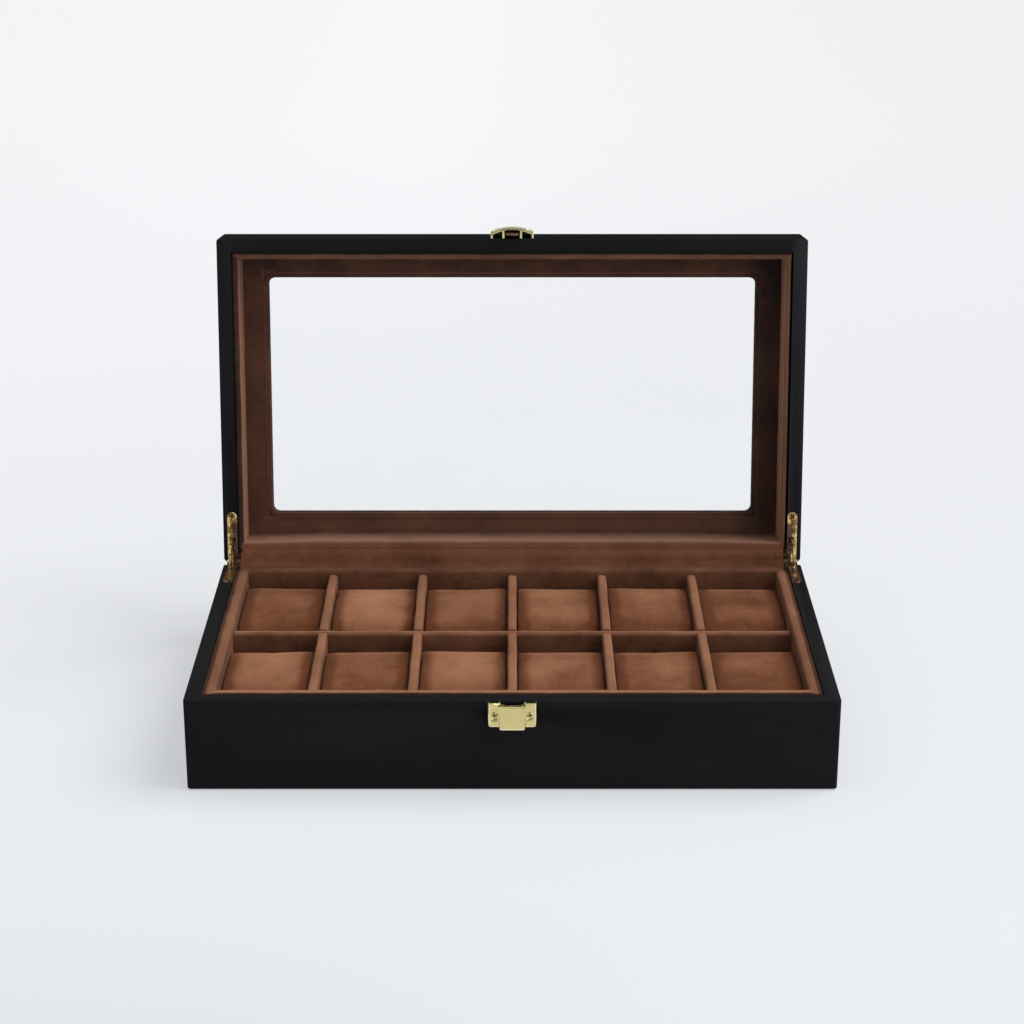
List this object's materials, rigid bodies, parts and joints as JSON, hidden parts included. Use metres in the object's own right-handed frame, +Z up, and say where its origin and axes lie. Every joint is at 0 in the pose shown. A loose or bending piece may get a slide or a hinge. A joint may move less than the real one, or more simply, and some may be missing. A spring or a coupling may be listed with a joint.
{
  "type": "watch display box",
  "caption": "Lacquered wooden display box with a windowed flip-up lid, two rows of suede pillows in divided places, stay hinges and a push latch.",
  "frame": {"origin": "centre of the underside, on the table", "axes": "+X to the right along the longest side, -Y towards the front where the latch is, +Z up; the lid rests open"},
  "size_m": [0.336, 0.2546, 0.243],
  "materials": {
    "lacquered_wood": "satin black lacquer",
    "brown_suede": "short brushed nap",
    "clear_glass": "polished clear",
    "gilt_brass": "polished brass plate",
    "spring_steel": "tempered strip",
    "fibre_board": "dark painted board",
    "underside_felt": "dense felt"
  },
  "bodies": {
    "base": {"base_front_wall": "lacquered_wood", "base_rear_wall": "lacquered_wood", "base_left_wall": "lacquered_wood", "base_right_wall": "lacquered_wood", "base_bottom_panel": "fibre_board", "underside_felt": "underside_felt", "floor_lining": "brown_suede", "base_front_liner": "brown_suede", "base_rear_liner": "brown_suede", "base_left_liner": "brown_suede", "base_right_liner": "brown_suede", "long_divider": "brown_suede", "cross_divider_1": "brown_suede", "cross_divider_2": "brown_suede", "cross_divider_3": "brown_suede", "cross_divider_4": "brown_suede", "cross_divider_5": "brown_suede", "hinge_strip_base": "brown_suede", "left_hinge_base_leaf": "gilt_brass", "right_hinge_base_leaf": "gilt_brass", "hinge_pins": "gilt_brass", "base_hinge_screws": "gilt_brass", "lock_plate": "gilt_brass", "lock_screws": "gilt_brass", "lock_spring": "spring_steel"},
    "lid": {"lid_front_wall": "lacquered_wood", "lid_rear_wall": "lacquered_wood", "lid_left_wall": "lacquered_wood", "lid_right_wall": "lacquered_wood", "lid_top_panel": "lacquered_wood", "window_glass": "clear_glass", "window_mat": "brown_suede", "lid_front_liner": "brown_suede", "lid_rear_liner": "brown_suede", "lid_left_liner": "brown_suede", "lid_right_liner": "brown_suede", "hinge_strip_lid": "brown_suede", "left_hinge_lid_leaf": "gilt_brass", "right_hinge_lid_leaf": "gilt_brass", "lid_hinge_screws": "gilt_brass", "keeper": "gilt_brass", "keeper_screws": "gilt_brass"},
    "right_stay": {"right_stay": "gilt_brass"},
    "left_stay": {"left_stay": "gilt_brass"},
    "lock_button": {"push_button": "gilt_brass"},
    "pillow_back_1": {"pillow_back_1": "brown_suede"},
    "pillow_back_2": {"pillow_back_2": "brown_suede"},
    "pillow_back_3": {"pillow_back_3": "brown_suede"},
    "pillow_back_4": {"pillow_back_4": "brown_suede"},
    "pillow_back_5": {"pillow_back_5": "brown_suede"},
    "pillow_back_6": {"pillow_back_6": "brown_suede"},
    "pillow_front_1": {"pillow_front_1": "brown_suede"},
    "pillow_front_2": {"pillow_front_2": "brown_suede"},
    "pillow_front_3": {"pillow_front_3": "brown_suede"},
    "pillow_front_4": {"pillow_front_4": "brown_suede"},
    "pillow_front_5": {"pillow_front_5": "brown_suede"},
    "pillow_front_6": {"pillow_front_6": "brown_suede"}
  },
  "joints": [
    {"name": "lid_hinge", "type": "hinge", "parent": "base", "child": "lid", "pos_m": [0, 0.09425, 0.05105], "axis": [-1, 0, 0], "range_deg": [-99, 0]},
    {"name": "left_stay_hinge", "type": "hinge", "parent": "base", "child": "left_stay", "pos_m": [0, 0.09425, 0.05105], "axis": [-1, 0, 0], "range_deg": [-49.5, 0]},
    {"name": "right_stay_hinge", "type": "hinge", "parent": "base", "child": "right_stay", "pos_m": [0, 0.09425, 0.05105], "axis": [-1, 0, 0], "range_deg": [-49.5, 0]},
    {"name": "lock_button_slide", "type": "slide", "parent": "base", "child": "lock_button", "axis": [0, 1, 0], "range_m": [0, 0.0015], "stiffness_N_per_m": 400, "deforming": ["lock_spring"]},
    {"name": "pillow_back_1_lift", "type": "slide", "parent": "base", "child": "pillow_back_1", "axis": [0, 0, 1], "range_m": [0, 0.05]},
    {"name": "pillow_back_2_lift", "type": "slide", "parent": "base", "child": "pillow_back_2", "axis": [0, 0, 1], "range_m": [0, 0.05]},
    {"name": "pillow_back_3_lift", "type": "slide", "parent": "base", "child": "pillow_back_3", "axis": [0, 0, 1], "range_m": [0, 0.05]},
    {"name": "pillow_back_4_lift", "type": "slide", "parent": "base", "child": "pillow_back_4", "axis": [0, 0, 1], "range_m": [0, 0.05]},
    {"name": "pillow_back_5_lift", "type": "slide", "parent": "base", "child": "pillow_back_5", "axis": [0, 0, 1], "range_m": [0, 0.05]},
    {"name": "pillow_back_6_lift", "type": "slide", "parent": "base", "child": "pillow_back_6", "axis": [0, 0, 1], "range_m": [0, 0.05]},
    {"name": "pillow_front_1_lift", "type": "slide", "parent": "base", "child": "pillow_front_1", "axis": [0, 0, 1], "range_m": [0, 0.05]},
    {"name": "pillow_front_2_lift", "type": "slide", "parent": "base", "child": "pillow_front_2", "axis": [0, 0, 1], "range_m": [0, 0.05]},
    {"name": "pillow_front_3_lift", "type": "slide", "parent": "base", "child": "pillow_front_3", "axis": [0, 0, 1], "range_m": [0, 0.05]},
    {"name": "pillow_front_4_lift", "type": "slide", "parent": "base", "child": "pillow_front_4", "axis": [0, 0, 1], "range_m": [0, 0.05]},
    {"name": "pillow_front_5_lift", "type": "slide", "parent": "base", "child": "pillow_front_5", "axis": [0, 0, 1], "range_m": [0, 0.05]},
    {"name": "pillow_front_6_lift", "type": "slide", "parent": "base", "child": "pillow_front_6", "axis": [0, 0, 1], "range_m": [0, 0.05]}
  ],
  "couplings": [
    {"joint": "left_stay_hinge", "follows": "lid_hinge", "ratio": 0.5},
    {"joint": "right_stay_hinge", "follows": "lid_hinge", "ratio": 0.5}
  ]
}
